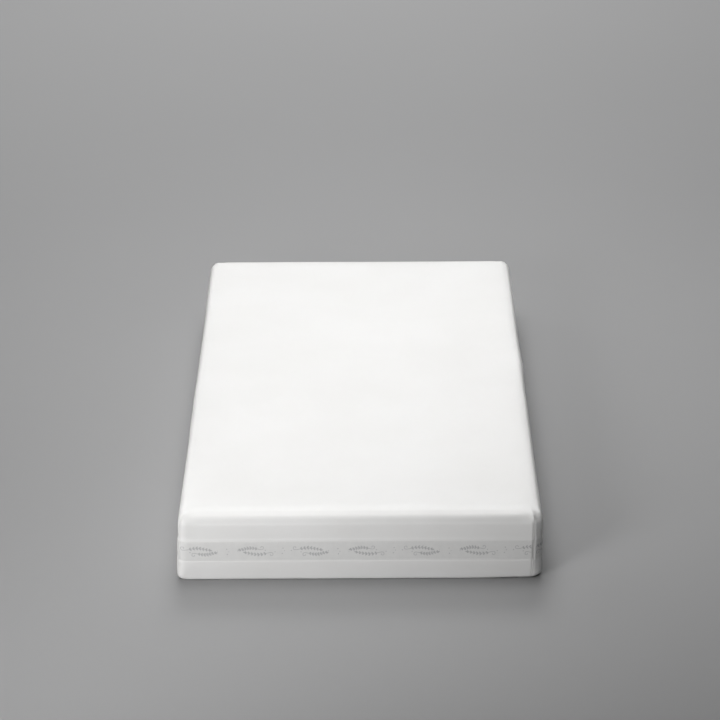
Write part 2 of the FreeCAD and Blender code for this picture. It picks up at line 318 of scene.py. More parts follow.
def tube(path, radius, sides, closed=False, flatten=1.0, up=None):
    """Points and quads of a tube along path; radius may change from point to point."""
    path = np.asarray(path, float)
    radius = np.broadcast_to(np.asarray(radius, float), len(path))
    ahead = np.roll(path, -1, 0) - np.roll(path, 1, 0)
    if not closed:
        ahead[0], ahead[-1] = path[1] - path[0], path[-1] - path[-2]
    ahead /= np.linalg.norm(ahead, axis=1)[:, None]
    up = np.broadcast_to(np.asarray((0, 0, 1.0) if up is None else up, float), path.shape)
    across = np.cross(ahead, up)
    across /= np.maximum(np.linalg.norm(across, axis=1), 1e-9)[:, None]
    lift = np.cross(across, ahead)
    angles = np.arange(sides) * 2 * math.pi / sides
    rings = (
        path[:, None]
        + across[:, None] * (radius[:, None] * np.cos(angles))[..., None]
        + lift[:, None] * (radius[:, None] * np.sin(angles) * flatten)[..., None]
    )
    count = len(path)
    faces = [(r * sides + c, r * sides + d, q * sides + d, q * sides + c)
             for r, q in ([(i, i + 1) for i in range(count - 1)] + ([(count - 1, 0)] if closed else []))
             for c, d in ((c, (c + 1) % sides) for c in range(sides))]
    if not closed:
        faces.append(tuple(range(sides))[::-1])
        faces.append(tuple((count - 1) * sides + c for c in range(sides)))
    return rings.reshape(-1, 3), faces


def joined(parts):
    """Several (points, faces) as one."""
    points, faces, start = [], [], 0
    for p, f in parts:
        points.append(np.asarray(p, float))
        faces += [tuple(i + start for i in face) for face in f]
        start += len(p)
    return np.concatenate(points), faces


def only_used(faces):
    """The faces, numbered anew, and the indices of the points that they use."""
    used = sorted({i for f in faces for i in f})
    new_index = {old: new for new, old in enumerate(used)}
    return used, [tuple(new_index[i] for i in f) for f in faces]


def lengths_along(path):
    """Distance from the start of a path at each of its points."""
    return np.concatenate([[0], np.cumsum(np.linalg.norm(np.diff(path, axis=0), axis=1))])


def stitches(centres, ahead, outward, length, width=0.45, height=0.28):
    """One small bead of thread at each centre, lying along ahead and standing out along outward."""
    centres, ahead, outward = (np.asarray(a, float) for a in (centres, ahead, outward))
    ahead = ahead / np.linalg.norm(ahead, axis=1)[:, None]
    across = np.cross(outward, ahead)
    across /= np.linalg.norm(across, axis=1)[:, None]
    ring = [(0, 1), (1, 0.25), (0.7, -0.6), (-0.7, -0.6), (-1, 0.25)]
    corners = [centres - ahead * length / 2 - outward * height * 0.5]
    for reach in (-0.3, 0.3):
        for a, o in ring:
            corners.append(centres + ahead * reach * length + across * a * width / 2 + outward * o * height)
    corners.append(centres + ahead * length / 2 - outward * height * 0.5)
    points = np.stack(corners, 1).reshape(-1, 3)
    one = []
    for c in range(5):
        d = (c + 1) % 5
        one += [(0, 1 + d, 1 + c), (1 + c, 1 + d, 6 + d, 6 + c), (11, 6 + c, 6 + d)]
    faces = [tuple(i + 12 * k for i in face) for k in range(len(centres)) for face in one]
    return points, faces


# ---- the mattress as a rounded block ----
def spaced(low, high, step, *stops):
    """Evenly spaced values from low to high, with each stop among them."""
    ends = [low, *stops, high]
    parts = [np.linspace(a, b, max(int(round((b - a) / step)), 1), endpoint=False)
             for a, b in zip(ends[:-1], ends[1:])]
    return np.concatenate([*parts, [high]])


def outline_columns(step, corner_turns, x_stops, y_stops):
    """Columns round the outline: core points and outward directions, with the lines of the flat face."""
    xs = spaced(-CORE_X, CORE_X, step, *x_stops)
    ys = spaced(-CORE_Y, CORE_Y, step, *y_stops)
    core, turn = [], []
    for sector, (line, sign) in enumerate([(xs, 1), (ys, 1), (xs, -1), (ys, -1)]):
        heading = -math.pi / 2 + sector * math.pi / 2
        for value in line:
            if sector % 2 == 0:
                core.append((sign * value, -sign * CORE_Y))
            else:
                core.append((sign * CORE_X, sign * value))
            turn.append(heading)
        for a in corner_turns:
            core.append(core[-1])
            turn.append(heading + a)
    turn = np.array(turn)
    return np.array(core), np.stack([np.cos(turn), np.sin(turn)], 1), xs, ys


def rounded_block(step, corner_turns, profile, x_stops=(), y_stops=(), caps=("top",)):
    """Points and faces of a block with rounded upright corners. profile is (inset, height) pairs from
    the underside up to the flat top. caps says which of its flat faces it has."""
    core, direction, xs, ys = outline_columns(step, corner_turns, x_stops, y_stops)
    profile = np.array(profile, float)
    count, rings = len(core), len(profile)
    reach = CORNER_R - profile[:, 0]
    flat = core[:, None] + direction[:, None] * reach[None, :, None]
    points = np.concatenate([flat, np.broadcast_to(profile[:, 1], (count, rings))[..., None]], 2)
    points = points.reshape(-1, 3)
    faces = []
    for c in range(count):
        d = (c + 1) % count
        for r in range(rings - 1):
            faces.append((c * rings + r, d * rings + r, d * rings + r + 1, c * rings + r + 1))
    columns = len(xs)
    for cap in caps:
        ring, facing = (rings - 1, 1) if cap == "top" else (0, -1)
        start = len(points)
        points = np.concatenate([points, [(x, y, profile[ring, 1]) for y in ys for x in xs]])
        hub_of = {(round(x, 4), round(y, 4)): start + j * columns + i
                  for j, y in enumerate(ys) for i, x in enumerate(xs)}
        hub = [hub_of[(round(p[0], 4), round(p[1], 4))] for p in core]
        for r in range(len(ys) - 1):
            for c in range(columns - 1):
                a = start + r * columns + c
                faces.append((a, a + 1, a + columns + 1, a + columns)[::facing])
        for c in range(count):
            d = (c + 1) % count
            edge = (c * rings + ring, d * rings + ring)
            faces.append(((*edge, hub[d], hub[c]) if hub[c] != hub[d] else (*edge, hub[c]))[::facing])
    return points, faces


def corner_angles(count):
    """Turns of the columns between two walls."""
    return np.linspace(0, math.pi / 2, count)[1:-1]


def cover_profile():
    low = [(BASE_LIP, 0), (12, 0), (BASE_R, 0)]
    low += [(BASE_R - BASE_R * math.sin(a), BASE_R - BASE_R * math.cos(a))
            for a in np.linspace(0, math.pi / 2, 8)[1:]]
    slit = [ZIP_Z - SLIT_HALF_H, ZIP_Z, ZIP_Z + SLIT_HALF_H]
    ribbon = [RIBBON_LOW - 4, RIBBON_LOW - 2.5, RIBBON_LOW - 1.5, RIBBON_LOW - 0.5, RIBBON_LOW + 0.5,
              *np.linspace(RIBBON_LOW + 4, RIBBON_HIGH - 1, 6),
              RIBBON_HIGH + 1, RIBBON_HIGH + 2.5, RIBBON_HIGH + 4, RIBBON_HIGH + 5.5, RIBBON_HIGH + 7]
    wall = [(0, z) for z in (13.5, *slit, 35, *ribbon, 97, 105, 112)]
    high = [(TOP_R - TOP_R * math.cos(a), HEIGHT - TOP_R + TOP_R * math.sin(a))
            for a in np.linspace(0, math.pi / 2, 15)]
    return low + wall + high


def cut_map(mesh):
    """Lays the cloth out flat, as it was cut: the top in the middle and a wall folded out on each side."""
    points = np.array([v.co for v in mesh.vertices]) / M
    layer = mesh.uv_layers.new(name="cloth")
    core = np.stack([np.clip(points[:, 0], -CORE_X, CORE_X), np.clip(points[:, 1], -CORE_Y, CORE_Y)], 1)
    off = points[:, :2] - core
    down = HEIGHT - points[:, 2]
    values = np.zeros((len(mesh.loops), 2))
    for face in mesh.polygons:
        middle = points[list(face.vertices)].mean(0)
        to_side = abs(middle[0]) - CORE_X
        to_end = abs(middle[1]) - CORE_Y
        for loop, vertex in zip(face.loop_indices, face.vertices):
            x, y = points[vertex, :2]
            fold = down[vertex] + 0.6 * min(np.linalg.norm(off[vertex]), CORNER_R)
            if max(to_side, to_end) <= 0:
                values[loop] = x, y
            elif to_end > to_side:
                values[loop] = x, math.copysign(CORE_Y + fold, middle[1])
            else:
                values[loop] = math.copysign(CORE_X + fold, middle[0]), y
    layer.data.foreach_set("uv", (values * M).ravel())


# ---- materials ----
def shader_of(mat):
    return mat.node_tree.nodes["Principled BSDF"]


def material(name, colour, roughness, **inputs):
    mat = bpy.data.materials.new(name)
    mat.use_nodes = True
    shader = shader_of(mat)
    shader.inputs["Base Color"].default_value = (*colour, 1)
    shader.inputs["Roughness"].default_value = roughness
    for key, value in inputs.items():
        shader.inputs[key.replace("_", " ")].default_value = value
    MATS[name] = mat
    return mat


def node(mat, kind, inputs=(), **settings):
    made = mat.node_tree.nodes.new("ShaderNode" + kind)
    for key, value in settings.items():
        setattr(made, key, value)
    for socket, value in dict(inputs).items():
        if isinstance(value, bpy.types.NodeSocket):
            mat.node_tree.links.new(value, made.inputs[socket])
        else:
            made.inputs[socket].default_value = value
    return made


def math_node(mat, operation, a, b=0.0):
    return node(mat, "Math", {0: a, 1: b}, operation=operation).outputs[0]


def object_place(mat):
    return node(mat, "TexCoord").outputs["Object"]


def noise(mat, size, detail=2.0, where=None):
    """Soft noise from 0 to 1 with lumps about size metres across."""
    where = where or object_place(mat)
    return node(mat, "TexNoise", {"Vector": where, "Scale": 1 / size, "Detail": detail}).outputs["Fac"]


def tint(mat, fac, low, high):
    """Colours the shader from low to high as fac goes from a third to two thirds."""
    ramp = node(mat, "ValToRGB", {"Fac": fac})
    ramp.color_ramp.elements[0].position = 0.33
    ramp.color_ramp.elements[1].position = 0.67
    ramp.color_ramp.elements[0].color = (*low, 1)
    ramp.color_ramp.elements[1].color = (*high, 1)
    mat.node_tree.links.new(ramp.outputs["Color"], shader_of(mat).inputs["Base Color"])


def relief(mat, height, depth, strength=1.0):
    """Bump depth metres deep where height goes from 0 to 1, on top of any relief already there."""
    shader = shader_of(mat)
    inputs = {"Height": height, "Distance": depth, "Strength": strength}
    if shader.inputs["Normal"].is_linked:
        inputs["Normal"] = shader.inputs["Normal"].links[0].from_socket
    made = node(mat, "Bump", inputs)
    mat.node_tree.links.new(made.outputs["Normal"], shader.inputs["Normal"])


def waves(mat, direction, pitch, where=None, shift=None):
    """0 to 1 and back, every pitch metres along direction."""
    where = where or object_place(mat)
    along = node(mat, "VectorMath", {0: where, 1: direction}, operation="DOT_PRODUCT").outputs["Value"]
    turns = math_node(mat, "MULTIPLY", along, 2 * math.pi / pitch)
    if shift is not None:
        turns = math_node(mat, "ADD", turns, shift)
    return math_node(mat, "MULTIPLY_ADD", math_node(mat, "SINE", turns), 0.5)


def knit(mat, where, wale, course, depth):
    """Rows of small V shaped loops."""
    half = node(mat, "VectorMath", {0: where, 1: (1, 0, 0)}, operation="DOT_PRODUCT").outputs["Value"]
    slope = math_node(mat, "PINGPONG", half, wale / 2)
    shift = math_node(mat, "MULTIPLY", slope, 2 * math.pi / course * 1.4)
    legs = waves(mat, (0, 1, 0), course, where, shift)
    ribs = waves(mat, (1, 0, 0), wale, where)
    relief(mat, math_node(mat, "ADD", legs, ribs), depth)



def cloth_place(mat):
    return node(mat, "UVMap", uv_map="cloth").outputs["UV"]


# name, colour, roughness, sheen, and weaves of (direction, pitch, depth) in metres
WOVEN = (
    ("binding_cloth", (0.78, 0.775, 0.76), 0.85, 0, [((1, 1, 1), 0.0012, 0.0001)]),
    ("corner_seam_cloth", (0.79, 0.785, 0.775), 0.8, 0.1, [((0.25, 0, 1), 0.0016, 0.00012)]),
    ("thread", (0.83, 0.825, 0.81), 0.55, 0.3, [((1, 1, 1), 0.0005, 0.00005)]),
    ("sock_thread", (0.78, 0.77, 0.74), 0.7, 0.2, [((1, 1, 1), 0.0006, 0.00006)]),
    ("zip_patch", (0.75, 0.75, 0.745), 0.75, 0,
     [((1, 0, 0), 0.0008, 0.00008), ((0, 0, 1), 0.0008, 0.00008)]),
    ("label_cloth", (0.82, 0.82, 0.815), 0.6, 0.1, [((0, 0, 1), 0.0006, 0.00006)]),
)


def make_plain_cloths():
    for name, colour, roughness, sheen, weaves in WOVEN:
        cloth = material(name, colour, roughness, Sheen_Weight=sheen)
        for direction, pitch, depth in weaves:
            relief(cloth, waves(cloth, direction, pitch), depth)


def make_main_cloths():
    cover = material("cover_knit", (0.80, 0.797, 0.792), 0.35, Sheen_Weight=0.06,
                     Specular_IOR_Level=0.3, Sheen_Roughness=0.45)
    tint(cover, noise(cover, 0.16, 3), (0.792, 0.787, 0.776), (0.812, 0.808, 0.80))
    knit(cover, cloth_place(cover), 0.0011, 0.0009, 0.00006)
    relief(cover, noise(cover, 0.035, 3), 0.0004, 0.35)

    base = material("base_cloth", (0.70, 0.695, 0.68), 0.9)
    tint(base, noise(base, 0.02, 4), (0.66, 0.655, 0.64), (0.73, 0.725, 0.71))
    for direction in ((0.7, 0.7, 0), (0.7, -0.7, 0)):
        relief(base, waves(base, direction, 0.0022), 0.00012)
    relief(base, noise(base, 0.004, 3), 0.0002)

    satin = material("ribbon_satin", (0.72, 0.717, 0.708), 0.45, Sheen_Weight=0.1)
    tint(satin, noise(satin, 0.012, 3), (0.71, 0.707, 0.698), (0.735, 0.732, 0.722))
    relief(satin, waves(satin, (0, 0, 1), 0.0009), 0.00005)
    relief(satin, noise(satin, 0.02, 2), 0.0002, 0.5)

    ink = material("ribbon_print", (0.46, 0.46, 0.465), 0.55)
    tint(ink, noise(ink, 0.003, 3), (0.44, 0.44, 0.445), (0.49, 0.49, 0.495))

    sock = material("fire_sock_knit", (0.74, 0.73, 0.70), 0.95, Sheen_Weight=0.2)
    tint(sock, noise(sock, 0.03, 4), (0.71, 0.70, 0.665), (0.77, 0.76, 0.735))
    relief(sock, waves(sock, (1, 0, 0), 0.003), 0.0003)
    relief(sock, waves(sock, (0, 1, 1), 0.0024), 0.0003)

    tape = material("zip_tape", (0.76, 0.76, 0.75), 0.8)
    relief(tape, waves(tape, (0.8, 0, 0.6), 0.0009), 0.00012)
    tint(tape, noise(tape, 0.006, 3), (0.73, 0.73, 0.72), (0.78, 0.78, 0.77))


def make_foams():
    support = material("support_foam", (0.80, 0.77, 0.66), 0.95, Subsurface_Weight=0.1)
    memory = material("memory_foam", (0.70, 0.78, 0.84), 0.9, Subsurface_Weight=0.1)
    for mat, low, high, cell in ((support, (0.74, 0.70, 0.58), (0.84, 0.81, 0.71), 0.0016),
                                 (memory, (0.64, 0.73, 0.80), (0.74, 0.81, 0.86), 0.0011)):
        cells = node(mat, "TexVoronoi", {"Vector": object_place(mat), "Scale": 1 / cell}).outputs["Distance"]
        tint(mat, noise(mat, 0.02, 5), low, high)
        relief(mat, cells, 0.0005, 0.8)


def make_hard_materials():
    coil = material("zip_coil", (0.80, 0.80, 0.79), 0.32, Coat_Weight=0.15)
    tint(coil, noise(coil, 0.01, 2), (0.79, 0.79, 0.78), (0.82, 0.82, 0.81))

    stop = material("zip_stop_metal", (0.72, 0.73, 0.74), 0.34, Metallic=1.0)
    relief(stop, noise(stop, 0.0015, 3), 0.00005)

    metal = material("zip_metal", (0.62, 0.62, 0.63), 0.24, Metallic=1.0)
    rough = node(metal, "MapRange", {"Value": noise(metal, 0.004, 4), "To Min": 0.18, "To Max": 0.34})
    metal.node_tree.links.new(rough.outputs["Result"], shader_of(metal).inputs["Roughness"])
    relief(metal, noise(metal, 0.0012, 3), 0.00003)

    floor = material("floor", (0.304, 0.304, 0.306), 0.85, Specular_IOR_Level=0.2)
    tint(floor, noise(floor, 0.9, 3), (0.302, 0.302, 0.304), (0.306, 0.306, 0.308))


make_plain_cloths()
make_main_cloths()
make_foams()
make_hard_materials()


# ---- cover ----
def slit_open(points, faces):
    """The faces left when the zip's opening is cut out of the rear wall."""
    kept = []
    for face in faces:
        x, y, z = points[list(face)].mean(0)
        if not (y > HALF_L - 1 and abs(x) < SLIT_HALF and abs(z - ZIP_Z) < SLIT_HALF_H):
            kept.append(face)
    return kept


def make_cover():
    points, faces = rounded_block(7, corner_angles(49), cover_profile(), x_stops=(-SLIT_HALF, SLIT_HALF))
    faces = slit_open(points, faces)
    cover = new_piece("cover_cloth", points, faces, "cover_knit")
    cut_map(cover.data)
    cover.data.vertices.foreach_set("co", (soften(points) * M).ravel())
    thicken(cover, COVER_T)
    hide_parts("cover")


make_cover()


# ---- layers inside the cover ----
def inner_profile(offset, bottom, top):
    """The cover's profile moved in by offset, from bottom up to top."""
    low, high = [(offset, bottom)], [(offset, top)]
    if bottom < BASE_R:
        low = [(BASE_R - (BASE_R - offset) * math.sin(a), BASE_R - (BASE_R - bottom) * math.cos(a))
               for a in np.linspace(0, math.pi / 2, 5)]
    if top > HEIGHT - TOP_R:
        rise = top - (HEIGHT - TOP_R)
        high = [(TOP_R - (TOP_R - offset) * math.cos(a), HEIGHT - TOP_R + rise * math.sin(a))
                for a in np.linspace(0, math.pi / 2, 7)]
    wall = [(offset, z) for z in np.linspace(low[-1][1], high[0][1], 7)[1:-1]]
    return low + wall + high


SLIDER_ROOM = 1.4


def make_room_for_slider(points):
    """The layers stand back from the rear wall, where the slider's inner plate runs."""
    moved = points.copy()
    moved[:, 1] -= SLIDER_ROOM * smooth(points[:, 1], HALF_L - 50, HALF_L - 28)
    return moved


def foam_layer(replaced, bottom, top):
    points, faces = rounded_block(24, corner_angles(9), inner_profile(FOAM_IN, bottom, top),
                                  caps=("top", "bottom"))
    foam = new_piece(replaced + "_block", make_room_for_slider(soften(points)), faces, replaced)
    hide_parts(replaced)


SOCK_IN = 2.2  # the fire sock's outer face, in from the cover's
SOCK_T = 1.0
FOAM_IN = 3.5
FOAM_LOW, FOAM_SPLIT, FOAM_HIGH = (v[2] for v in (node_box("support_foam")[0], *node_box("memory_foam")))
SOCK_LOW, SOCK_HIGH = (v[2] for v in node_box("fire_sock_tube"))
SOCK_SPLIT = node_box("fire_sock_tube")[0][1]  # where its tube meets the front end piece

foam_layer("support_foam", FOAM_LOW, FOAM_SPLIT - 0.1)
foam_layer("memory_foam", FOAM_SPLIT + 0.1, FOAM_HIGH)


def sock_piece(name, replaced, keep):
    points, faces = rounded_block(13, corner_angles(11), inner_profile(SOCK_IN, SOCK_LOW, SOCK_HIGH),
                                  y_stops=(SOCK_SPLIT, -SOCK_SPLIT), caps=("top", "bottom"))
    faces = [f for f in faces if keep(points[list(f), 1].mean())]
    used, faces = only_used(faces)
    moved = make_room_for_slider(soften(points[used]))
    sock = new_piece(name, moved, faces, "fire_sock_knit")
    thicken(sock, SOCK_T)
    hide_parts(replaced)


sock_piece("fire_sock_tube_knit", "fire_sock_tube", lambda y: abs(y) < -SOCK_SPLIT)
sock_piece("fire_sock_front_knit", "fire_sock_front_end", lambda y: y < SOCK_SPLIT)
sock_piece("fire_sock_rear_knit", "fire_sock_rear_end", lambda y: y > -SOCK_SPLIT)


LOOP_PITCH = 2.4  # of the thread along an overlocked seam


def sock_seam(name, replaced, y):
    """An overlocked seam all round the sock: a flat ridge of looped thread."""
    half = [(HALF_W - inset, z) for inset, z in inner_profile(SOCK_IN, SOCK_LOW, SOCK_HIGH)]
    loop = np.array(half + [(-x, z) for x, z in half[::-1]])
    loop = np.concatenate([loop, loop[:1]])
    along = lengths_along(loop)
    t = np.arange(0, along[-1], 1.2)
    x, z = np.interp(t, along, loop[:, 0]), np.interp(t, along, loop[:, 1])
    centre = np.array([np.clip(x, 13 - HALF_W, HALF_W - 13), np.clip(z, 12, HEIGHT - 22)]).T
    out = np.stack([x, z], 1) - centre
    out /= np.linalg.norm(out, axis=1)[:, None]
    rows = []
    half_ridge = [(-2.5, -0.2), (-2.2, 0.25), (-1.1, 0.5)]
    for across, height in [*half_ridge, (0, 0.4), *((-a, h) for a, h in half_ridge[::-1])]:
        loops = height + 0.16 * np.cos(2 * math.pi * (t / LOOP_PITCH + across * 0.12)) * (height > 0)
        wander = across + 0.25 * np.sin(2 * math.pi * t / LOOP_PITCH) * (abs(across) > 2)
        rows.append(np.stack([x + out[:, 0] * loops, y + wander, z + out[:, 1] * loops], 1))
    points = np.concatenate(rows)
    faces = grid_faces(len(rows), len(t), closed=True)
    seam = new_piece(name, make_room_for_slider(soften(points)), faces, "sock_thread")
    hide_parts(replaced)


sock_seam("fire_sock_front_overlock", "fire_sock_front_seam", SOCK_SPLIT)
sock_seam("fire_sock_rear_overlock", "fire_sock_rear_seam", -SOCK_SPLIT)


# ---- underside ----
def make_base_panel():
    points, faces = rounded_block(16, corner_angles(9), [(BASE_LIP + 0.2, 0)], caps=("bottom",))
    panel = new_piece("base_panel_cloth", soften(points), faces, "base_cloth")
    thicken(panel, COVER_T)
    size = [2 * (half - BASE_LIP - 0.2) * M for half in (HALF_W, HALF_L)]
    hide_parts("base_panel")
    return panel, size


def ring_strip(name, section, step, finish):
    """A strip all round the outline, with a section of (inset, height) pairs."""
    core, direction, _, _ = outline_columns(step, corner_angles(9), (), ())
    rows = [np.concatenate([core + direction * (CORNER_R - inset), np.full((len(core), 1), z)], 1)
            for inset, z in section]
    faces = grid_faces(len(rows), len(core), closed=True)
    return new_piece(name, soften(np.concatenate(rows)), faces, finish)


BASE_STITCH_PITCH = 3.6


def make_base_seam():
    section = [(20, 1.5), (20, 1.9), (19.4, 2.1), (15, 2.02), (10.6, 2.1), (10, 1.9), (10, 1.5),
               (15, 1.42), (20, 1.5)]
    binding = ring_strip("base_seam_binding_tape", section, 12, "binding_cloth")
    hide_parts("base_seam_binding")
    rows = []
    for inset in (BASE_LIP - 2.2, BASE_LIP + 2.4):
        count = int((wall_length() - 2 * math.pi * inset) / BASE_STITCH_PITCH)
        s = (np.arange(count) + 0.5) / count
        core, direction = around(s * wall_length())
        flat = core + direction * (CORNER_R - inset)
        ahead = level(np.stack([-direction[:, 1], direction[:, 0]], 1))
        centre = soften(level(flat))
        down = np.tile((0, 0, -1.0), (count, 1))
        rows.append(stitches(centre, ahead, down, 2.8, width=0.5, height=0.24))
    points, faces = joined(rows)
    return new_piece("base_seam_stitches", points, faces, "thread", slot="binding_cloth")


panel, panel_size = make_base_panel()
base_stitches = make_base_seam()


# ---- ribbon ----
SIDES = ("front", "right", "rear", "left")
RIBBON_T = 0.5
RIBBON_GAP = 1.2  # from a corner seam to the ribbon's end
RIBBON_STITCH_IN = 1.9  # from the ribbon's edge
RIBBON_STITCH_PITCH = 3.2


def ribbon_out(s, z):
    """How far the ribbon's face stands off the wall: a woven edge, and slight puckers from its stitches."""
    edge = np.minimum(z - RIBBON_LOW, RIBBON_HIGH - z)
    selvedge = 0.14 * bump(edge - 0.9, 0.7)
    place = np.stack([s, z * 1.6, np.zeros(len(s))], 1)
    pucker = 0.13 * (lumps(place, 19, 8) + 1) * smooth(edge, 0.6, 4)
    return 0.62 + selvedge + pucker - 0.12 * bump(edge - RIBBON_STITCH_IN, 0.5)


def ribbon_points(s, z, lift=0.0):
    return on_wall(s, z, ribbon_out(s, z) + lift)


def make_ribbon(side):
    start, end = side_span(side)
    arc = 46  # both ends bend round a corner, and need closer columns
    s = np.concatenate([np.linspace(start + RIBBON_GAP, start + arc, 36)[:-1],
                        spaced(start + arc, end - arc, 4), np.linspace(end - arc, end - RIBBON_GAP, 36)[1:]])
    edge = np.array([0.15, 0.5, 0.9, 1.4, 1.9, 2.6, 3.8])
    between = np.linspace(RIBBON_LOW + 7, RIBBON_HIGH - 7, 8)
    z = np.concatenate([RIBBON_LOW + edge, between, RIBBON_HIGH - edge[::-1]])
    grid_z, grid_s = np.meshgrid(z, s, indexing="ij")
    points = ribbon_points(grid_s.ravel(), grid_z.ravel())
    faces = grid_faces(len(z), len(s))
    ribbon = new_piece("ribbon_cloth_" + side, points, faces, "ribbon_satin")
    thicken(ribbon, RIBBON_T)
    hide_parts("ribbon_" + side)
    rows = []
    for z_row in (RIBBON_LOW + RIBBON_STITCH_IN, RIBBON_HIGH - RIBBON_STITCH_IN):
        count = int((end - start - 4) / RIBBON_STITCH_PITCH)
        at = np.linspace(start + 2.5, end - 2.5, count)
        height = np.full(count, z_row)
        here, behind, front = (ribbon_points(at + d, height) for d in (0, -1, 1))
        _, direction = around(at)
        rows.append(stitches(here, front - behind, level(direction), 2.5, width=0.5, height=0.25))
    points, faces = joined(rows)
    sewing = new_piece("ribbon_stitches_" + side, points, faces, "thread", slot="ribbon_satin")
    return ribbon, sewing, s[-1] - s[0]


# ---- the ribbon's print: sprigs with dots between ----
def leaf(u, v, angle, length, width, layer):
    """A pointed leaf from (u, v) along angle. layer is its height over the ribbon, so that parts which
    cross don't share one plane."""
    t = np.linspace(0, 1, 7)
    half = width / 2 * np.sin(math.pi * t ** 0.8) ** 0.9
    lengthways = np.concatenate([t, t[-2:0:-1]]) * length
    across = np.concatenate([half, -half[-2:0:-1]])
    c, s = math.cos(angle), math.sin(angle)
    outline = u + lengthways * c - across * s, v + lengthways * s + across * c
    points = np.stack([*outline, np.full(12, layer)], 1)
    return points, [(0, 1, 11), (1, 2, 10, 11), (2, 3, 9, 10), (3, 4, 8, 9), (4, 5, 7, 8), (5, 6, 7)]


def line(path, width, layer=0.16):
    path = np.asarray(path, float)
    ahead = np.gradient(path, axis=0)
    ahead /= np.linalg.norm(ahead, axis=1)[:, None]
    across = np.stack([-ahead[:, 1], ahead[:, 0]], 1) * width / 2
    n = len(path)
    points = np.concatenate([np.concatenate([path - across, path + across]), np.full((2 * n, 1), layer)], 1)
    return points, [(i, i + 1, n + i + 1, n + i) for i in range(n - 1)]


def dot(u, v, radius, layer=0.13):
    a = np.arange(10) * math.pi / 5
    points = np.stack([u + radius * np.cos(a), v + radius * np.sin(a), np.full(10, layer)], 1)
    return points, [tuple(range(10))]


def sprig():
    """Two leafy stems, one above the other and further along, each with a curled end, about 68 mm long."""
    parts = []
    for middle, height, mirror, span in ((-6, 5.6, 1, 25), (9, -6.2, -1, 21)):
        t = np.linspace(-1, 1, 25)
        stem = np.stack([middle + t * span, height + mirror * (2.2 * np.cos(t * 2.6) - 1.0)], 1)
        parts.append(line(stem, 0.95))
        slope = np.gradient(stem[:, 1]) / np.gradient(stem[:, 0])
        for k in range(5, 24, 3):
            base, tilt = stem[k], math.atan(slope[k])
            size = 6.4 - 1.8 * abs(t[k])
            parts.append(leaf(*base, tilt + 0.8, size, 2.7, 0.12))
            parts.append(leaf(*(base + (1.1, 0)), tilt - 0.8, size * 0.85, 2.5, 0.14))
        parts.append(leaf(*stem[-1], math.atan(slope[-1]), 5.4, 2.5, 0.13))
        turn = np.linspace(0, 5.2, 26)
        wide = 4.4 * (1 - turn / 7.5)
        curl = stem[0] + np.stack([-wide * np.sin(turn), mirror * (4.4 - wide * np.cos(turn))], 1)
        parts.append(line(curl, 0.95, 0.18))
        parts.append(dot(*(stem[0] + (-7.2, -mirror * 1.4)), 1.0))
        parts.append(dot(*(stem[-1] + (4.0, -mirror * 4.2)), 0.8))
    return joined(parts)


def make_print(side, first, pitch=106.0):
    """Sprigs that stand upright and upside down in turn, with three dots after each."""
    start, end = side_span(side)
    shape, faces = sprig()
    middle = (RIBBON_LOW + RIBBON_HIGH) / 2
    parts = []
    for k in range(int((end - start) / pitch) + 3):
        flip = (0.98, 0.98, 1) if k % 2 else (-0.98, -0.98, 1)
        cells = [(shape * flip, faces)]
        for shift, height, radius in ((-1.6, 5, 1.05), (2.4, -1, 0.8), (-0.4, -6.5, 1.05)):
            cells.append(dot(pitch / 2 + shift, height * flip[1], radius))
        points, cell_faces = joined(cells)
        s = start + first + (k - 1) * pitch + points[:, 0]
        inside = (s > start + 2.2) & (s < end - 2.2)
        cell_faces = [f for f in cell_faces if inside[list(f)].all()]
        if not cell_faces:
            continue
        used, cell_faces = only_used(cell_faces)
        parts.append((ribbon_points(s[used], middle + points[used, 1], points[used, 2]), cell_faces))
    points, faces = joined(parts)
    return new_piece("ribbon_print_" + side, points, faces, "ribbon_print", slot="ribbon_satin")


FIRST_SPRIG = {"front": 38.0, "right": 20.0, "rear": 30.0, "left": 45.0}
for side in SIDES:
    ribbon, sewing, length = make_ribbon(side)
    printed = make_print(side, FIRST_SPRIG[side])


# ---- corner seams ----
SEAM_STEP = 0.7


def make_corner_seam(name, heading):
    """The rolled edge up one corner, with its overcast stitches."""
    direction = np.array([math.cos(heading), math.sin(heading)])
    core = np.array([math.copysign(CORE_X, direction[0]), math.copysign(CORE_Y, direction[1])])
    low, high = node_box("corner_seam_" + name)
    top_tilt = math.asin((high[2] - HEIGHT + TOP_R) / TOP_R)
    upright = [(0, z, 0) for z in np.arange(low[2], HEIGHT - TOP_R, SEAM_STEP)]
    over = [(TOP_R - TOP_R * math.cos(a), HEIGHT - TOP_R + TOP_R * math.sin(a), a)
            for a in np.arange(0, top_tilt, SEAM_STEP / TOP_R)]
    path = np.array(upright + over)
    ideal = np.concatenate([core + direction * (CORNER_R - path[:, :1]), path[:, 1:2]], 1)
    tilt = path[:, 2]
    out = np.stack([direction[0] * np.cos(tilt), direction[1] * np.cos(tilt), np.sin(tilt)], 1)
    centre = soften(ideal) + out * 0.45
    along = np.arange(len(path)) * SEAM_STEP
    to_end = np.minimum(along, along[::-1])
    radius = (0.72 + 0.1 * np.sin(2 * math.pi * along / 2.8)) * (0.35 + 0.65 * smooth(to_end, 0, 2.5))
    welt = tube(centre, radius, 8, up=out)
    sideways = np.array([-direction[1], direction[0], 0])
    chosen = np.arange(3, len(path) - 3, 4)
    ahead = np.tile(sideways, (len(chosen), 1)) + (0, 0, 0.35)
    beads = stitches(centre[chosen] + out[chosen] * 0.62, ahead, out[chosen], 1.9, width=0.42, height=0.2)
    points, faces = joined([welt, beads])
    seam = new_piece("corner_seam_cloth_" + name, points, faces, "corner_seam_cloth")
    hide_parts("corner_seam_" + name)


